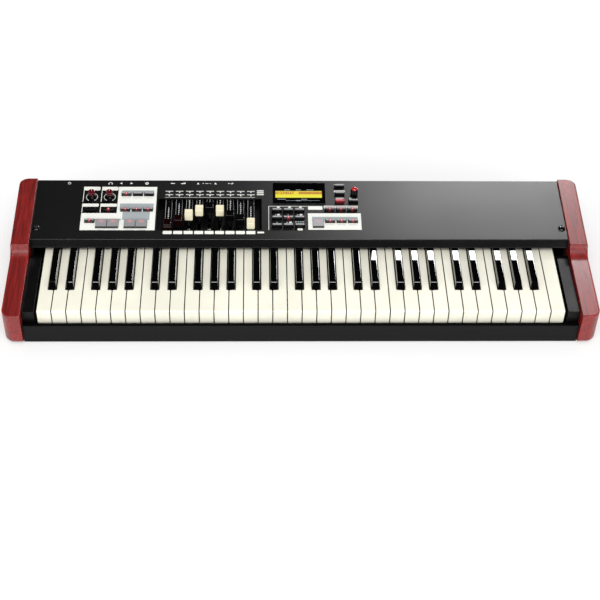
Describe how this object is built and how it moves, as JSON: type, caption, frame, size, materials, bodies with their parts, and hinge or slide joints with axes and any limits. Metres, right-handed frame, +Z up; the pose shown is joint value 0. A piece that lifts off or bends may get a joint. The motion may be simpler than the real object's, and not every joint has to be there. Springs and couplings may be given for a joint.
{
  "type": "drawbar organ",
  "caption": "Portable drawbar organ with a waterfall keyboard, sliding drawbars, knobs, buttons and a display on a sloping deck between wooden cheeks.",
  "frame": {"origin": "on the ground under the middle of the instrument", "axes": "+X to the player's right, +Y away from the player, +Z up"},
  "size_m": [0.952, 0.304, 0.1099],
  "materials": {
    "wood": "stained dark red-brown, clear lacquer",
    "black_metal": "fine satin black powder coat",
    "steel": "plated sheet",
    "black_plastic": "satin",
    "ivory": "polished",
    "gloss_black": "polished",
    "brown": "polished",
    "plate_white": "satin print",
    "grey_plastic": "satin",
    "red_plastic": "semi-gloss",
    "rubber": "matt",
    "circuit_board": "solder mask",
    "felt": "pressed felt",
    "screen": "backlit amber"
  },
  "bodies": {
    "chassis": {"cheek_left": "wood", "cheek_right": "wood", "bottom_case": "black_metal", "front_rail": "black_metal", "top_panel": "black_metal", "rear_panel": "black_metal", "key_frame": "steel", "end_block_left": "black_plastic", "end_block_right": "black_plastic", "drawbar_tray": "black_plastic", "jack_board": "black_plastic", "power_inlet": "black_plastic", "display_window": "gloss_black", "control_plate_left": "plate_white", "control_plate_right": "plate_white", "foot_front_left": "rubber", "foot_front_right": "rubber", "foot_rear_left": "rubber", "foot_rear_right": "rubber", "key_contact_board": "circuit_board", "main_board": "circuit_board", "panel_board_left": "circuit_board", "panel_board_right": "circuit_board", "key_felt_strip": "felt", "display_module": "screen"},
    "whites_1": {"white_keys_octave_1": "ivory"},
    "whites_2": {"white_keys_octave_2": "ivory"},
    "whites_3": {"white_keys_octave_3": "ivory"},
    "whites_4": {"white_keys_octave_4": "ivory"},
    "whites_5": {"white_keys_octave_5": "ivory"},
    "blacks_1": {"black_keys_octave_1": "gloss_black"},
    "blacks_2": {"black_keys_octave_2": "gloss_black"},
    "blacks_3": {"black_keys_octave_3": "gloss_black"},
    "blacks_4": {"black_keys_octave_4": "gloss_black"},
    "blacks_5": {"black_keys_octave_5": "gloss_black"},
    "top_c": {"white_key_top": "ivory"},
    "drawbar_1": {"drawbar_1": "brown"},
    "drawbar_2": {"drawbar_2": "brown"},
    "drawbar_3": {"drawbar_3": "ivory"},
    "drawbar_4": {"drawbar_4": "ivory"},
    "drawbar_5": {"drawbar_5": "gloss_black"},
    "drawbar_6": {"drawbar_6": "ivory"},
    "drawbar_7": {"drawbar_7": "gloss_black"},
    "drawbar_8": {"drawbar_8": "gloss_black"},
    "drawbar_9": {"drawbar_9": "ivory"},
    "volume": {"volume_knob": "gloss_black"},
    "drive": {"drive_knob": "gloss_black"},
    "value": {"value_dial": "gloss_black"},
    "power_switch": {"power_rocker": "black_plastic"},
    "buttons_left_pair_strip": {"buttons_left_pair": "black_plastic"},
    "buttons_left_upper_row_strip": {"buttons_left_upper_row": "black_plastic"},
    "buttons_left_middle_row_strip": {"buttons_left_middle_row": "black_plastic"},
    "buttons_left_lower_group_strip": {"buttons_left_lower_group": "grey_plastic"},
    "buttons_left_lower_pair_strip": {"buttons_left_lower_pair": "grey_plastic"},
    "buttons_number_grid_strip": {"buttons_number_grid": "black_plastic"},
    "buttons_preset_row_strip": {"buttons_preset_row": "black_plastic"},
    "buttons_right_lower_group_strip": {"buttons_right_lower_group": "grey_plastic"},
    "buttons_menu_column_strip": {"buttons_menu_column": "black_plastic"},
    "button_record_cap": {"button_record": "red_plastic"},
    "button_play_cap": {"button_play": "black_plastic"}
  },
  "joints": [
    {"name": "whites_1_press", "type": "hinge", "parent": "chassis", "child": "whites_1", "pos_m": [0, 0.07, 0.04925], "axis": [1, 0, 0], "range_deg": [0, 2.85], "stiffness_Nm_per_rad": 3, "springref_deg": -17.19},
    {"name": "whites_2_press", "type": "hinge", "parent": "chassis", "child": "whites_2", "pos_m": [0, 0.07, 0.04925], "axis": [1, 0, 0], "range_deg": [0, 2.85], "stiffness_Nm_per_rad": 3, "springref_deg": -17.19},
    {"name": "whites_3_press", "type": "hinge", "parent": "chassis", "child": "whites_3", "pos_m": [0, 0.07, 0.04925], "axis": [1, 0, 0], "range_deg": [0, 2.85], "stiffness_Nm_per_rad": 3, "springref_deg": -17.19},
    {"name": "whites_4_press", "type": "hinge", "parent": "chassis", "child": "whites_4", "pos_m": [0, 0.07, 0.04925], "axis": [1, 0, 0], "range_deg": [0, 2.85], "stiffness_Nm_per_rad": 3, "springref_deg": -17.19},
    {"name": "whites_5_press", "type": "hinge", "parent": "chassis", "child": "whites_5", "pos_m": [0, 0.07, 0.04925], "axis": [1, 0, 0], "range_deg": [0, 2.85], "stiffness_Nm_per_rad": 3, "springref_deg": -17.19},
    {"name": "blacks_1_press", "type": "hinge", "parent": "chassis", "child": "blacks_1", "pos_m": [0, 0.07, 0.05525], "axis": [1, 0, 0], "range_deg": [0, 3.3], "stiffness_Nm_per_rad": 1.5, "springref_deg": -17.19},
    {"name": "blacks_2_press", "type": "hinge", "parent": "chassis", "child": "blacks_2", "pos_m": [0, 0.07, 0.05525], "axis": [1, 0, 0], "range_deg": [0, 3.3], "stiffness_Nm_per_rad": 1.5, "springref_deg": -17.19},
    {"name": "blacks_3_press", "type": "hinge", "parent": "chassis", "child": "blacks_3", "pos_m": [0, 0.07, 0.05525], "axis": [1, 0, 0], "range_deg": [0, 3.3], "stiffness_Nm_per_rad": 1.5, "springref_deg": -17.19},
    {"name": "blacks_4_press", "type": "hinge", "parent": "chassis", "child": "blacks_4", "pos_m": [0, 0.07, 0.05525], "axis": [1, 0, 0], "range_deg": [0, 3.3], "stiffness_Nm_per_rad": 1.5, "springref_deg": -17.19},
    {"name": "blacks_5_press", "type": "hinge", "parent": "chassis", "child": "blacks_5", "pos_m": [0, 0.07, 0.05525], "axis": [1, 0, 0], "range_deg": [0, 3.3], "stiffness_Nm_per_rad": 1.5, "springref_deg": -17.19},
    {"name": "top_c_press", "type": "hinge", "parent": "chassis", "child": "top_c", "pos_m": [0, 0.07, 0.04925], "axis": [1, 0, 0], "range_deg": [0, 2.85], "stiffness_Nm_per_rad": 0.5, "springref_deg": -17.19},
    {"name": "drawbar_1_pull", "type": "slide", "parent": "chassis", "child": "drawbar_1", "axis": [0, -0.998, -0.0636], "range_m": [-0.0396, 0]},
    {"name": "drawbar_2_pull", "type": "slide", "parent": "chassis", "child": "drawbar_2", "axis": [0, -0.998, -0.0636], "range_m": [-0.03002, 0.00958]},
    {"name": "drawbar_3_pull", "type": "slide", "parent": "chassis", "child": "drawbar_3", "axis": [0, -0.998, -0.0636], "range_m": [-0.01758, 0.02202]},
    {"name": "drawbar_4_pull", "type": "slide", "parent": "chassis", "child": "drawbar_4", "axis": [0, -0.998, -0.0636], "range_m": [-0.00741, 0.0322]},
    {"name": "drawbar_5_pull", "type": "slide", "parent": "chassis", "child": "drawbar_5", "axis": [0, -0.998, -0.0636], "range_m": [0, 0.0396]},
    {"name": "drawbar_6_pull", "type": "slide", "parent": "chassis", "child": "drawbar_6", "axis": [0, -0.998, -0.0636], "range_m": [-0.00741, 0.0322]},
    {"name": "drawbar_7_pull", "type": "slide", "parent": "chassis", "child": "drawbar_7", "axis": [0, -0.998, -0.0636], "range_m": [-0.01929, 0.02031]},
    {"name": "drawbar_8_pull", "type": "slide", "parent": "chassis", "child": "drawbar_8", "axis": [0, -0.998, -0.0636], "range_m": [-0.02859, 0.01101]},
    {"name": "drawbar_9_pull", "type": "slide", "parent": "chassis", "child": "drawbar_9", "axis": [0, -0.998, -0.0636], "range_m": [-0.03738, 0.00222]},
    {"name": "volume_turn", "type": "hinge", "parent": "chassis", "child": "volume", "pos_m": [-0.351, 0.10962, 0.08883], "axis": [0, -0.0636, 0.998], "range_deg": [-150, 150]},
    {"name": "drive_turn", "type": "hinge", "parent": "chassis", "child": "drive", "pos_m": [-0.321, 0.10962, 0.08883], "axis": [0, -0.0636, 0.998], "range_deg": [-150, 150]},
    {"name": "value_turn", "type": "hinge", "parent": "chassis", "child": "value", "pos_m": [0.0926, 0.11133, 0.08894], "axis": [0, -0.0636, 0.998], "continuous": true},
    {"name": "power_switch_rock", "type": "hinge", "parent": "chassis", "child": "power_switch", "pos_m": [-0.379, 0.1452, 0.038], "axis": [1, 0, 0], "range_deg": [0, 12]},
    {"name": "buttons_left_pair_press", "type": "slide", "parent": "chassis", "child": "buttons_left_pair_strip", "axis": [0, 0.0636, -0.998], "range_m": [0, 0.001], "stiffness_N_per_m": 800, "springref_m": -0.001},
    {"name": "buttons_left_upper_row_press", "type": "slide", "parent": "chassis", "child": "buttons_left_upper_row_strip", "axis": [0, 0.0636, -0.998], "range_m": [0, 0.001], "stiffness_N_per_m": 800, "springref_m": -0.001},
    {"name": "buttons_left_middle_row_press", "type": "slide", "parent": "chassis", "child": "buttons_left_middle_row_strip", "axis": [0, 0.0636, -0.998], "range_m": [0, 0.001], "stiffness_N_per_m": 800, "springref_m": -0.001},
    {"name": "buttons_left_lower_group_press", "type": "slide", "parent": "chassis", "child": "buttons_left_lower_group_strip", "axis": [0, 0.0636, -0.998], "range_m": [0, 0.001], "stiffness_N_per_m": 800, "springref_m": -0.001},
    {"name": "buttons_left_lower_pair_press", "type": "slide", "parent": "chassis", "child": "buttons_left_lower_pair_strip", "axis": [0, 0.0636, -0.998], "range_m": [0, 0.001], "stiffness_N_per_m": 800, "springref_m": -0.001},
    {"name": "buttons_number_grid_press", "type": "slide", "parent": "chassis", "child": "buttons_number_grid_strip", "axis": [0, 0.0636, -0.998], "range_m": [0, 0.001], "stiffness_N_per_m": 800, "springref_m": -0.001},
    {"name": "buttons_preset_row_press", "type": "slide", "parent": "chassis", "child": "buttons_preset_row_strip", "axis": [0, 0.0636, -0.998], "range_m": [0, 0.001], "stiffness_N_per_m": 800, "springref_m": -0.001},
    {"name": "buttons_right_lower_group_press", "type": "slide", "parent": "chassis", "child": "buttons_right_lower_group_strip", "axis": [0, 0.0636, -0.998], "range_m": [0, 0.001], "stiffness_N_per_m": 800, "springref_m": -0.001},
    {"name": "buttons_menu_column_press", "type": "slide", "parent": "chassis", "child": "buttons_menu_column_strip", "axis": [0, 0.0636, -0.998], "range_m": [0, 0.001], "stiffness_N_per_m": 800, "springref_m": -0.001},
    {"name": "button_record_press", "type": "slide", "parent": "chassis", "child": "button_record_cap", "axis": [0, 0.0636, -0.998], "range_m": [0, 0.001], "stiffness_N_per_m": 800, "springref_m": -0.001},
    {"name": "button_play_press", "type": "slide", "parent": "chassis", "child": "button_play_cap", "axis": [0, 0.0636, -0.998], "range_m": [0, 0.001], "stiffness_N_per_m": 800, "springref_m": -0.001}
  ]
}
